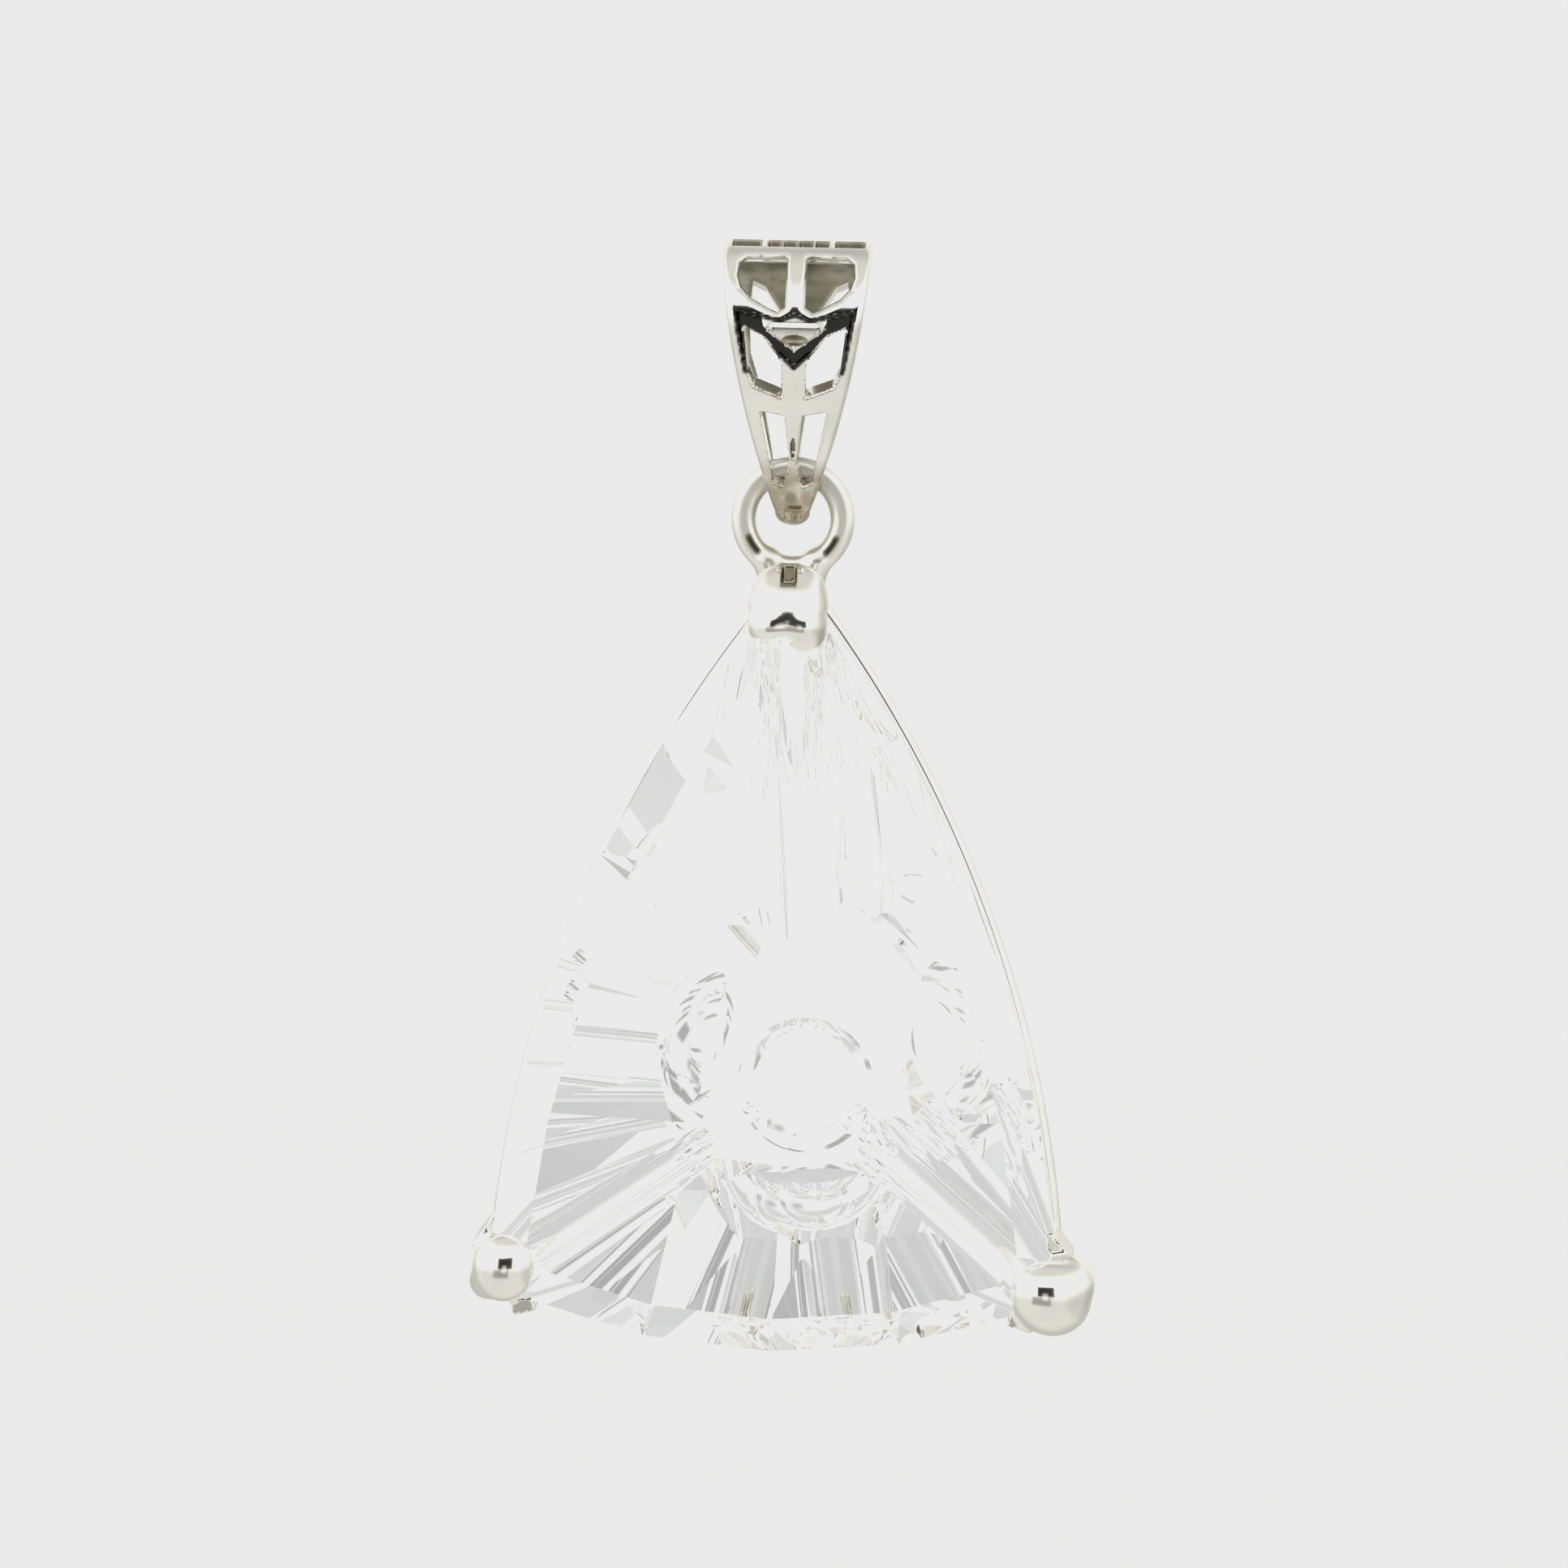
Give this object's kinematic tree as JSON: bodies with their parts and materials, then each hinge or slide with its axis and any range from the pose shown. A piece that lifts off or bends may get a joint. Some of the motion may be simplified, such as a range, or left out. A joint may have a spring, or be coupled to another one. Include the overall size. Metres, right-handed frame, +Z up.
{
  "type": "quartz pendant",
  "caption": "Pendant with a pierced tapered silver bail and a curved triangular quartz in a claw setting, which swings from the bail on a soldered ring.",
  "frame": {"origin": "inside top of the bail's loop, where the chain bears", "axes": "+Z up as the pendant hangs, front faces -Y, +X to the right as seen from the front"},
  "size_m": [0.0189, 0.0099, 0.0342],
  "materials": {
    "bail_silver": "rhodium-white silver, highly polished",
    "setting_silver": "rhodium-white silver, highly polished",
    "quartz": "clear colourless quartz, cut and polished"
  },
  "bodies": {
    "bail": {"bail": "bail_silver"},
    "drop": {"claw_setting": "setting_silver", "quartz_stone": "quartz"}
  },
  "joints": [
    {"name": "drop_swing", "type": "hinge", "parent": "bail", "child": "drop", "pos_m": [0, 0, -0.00625], "axis": [1, 0, 0], "range_deg": [-60, 60]}
  ]
}
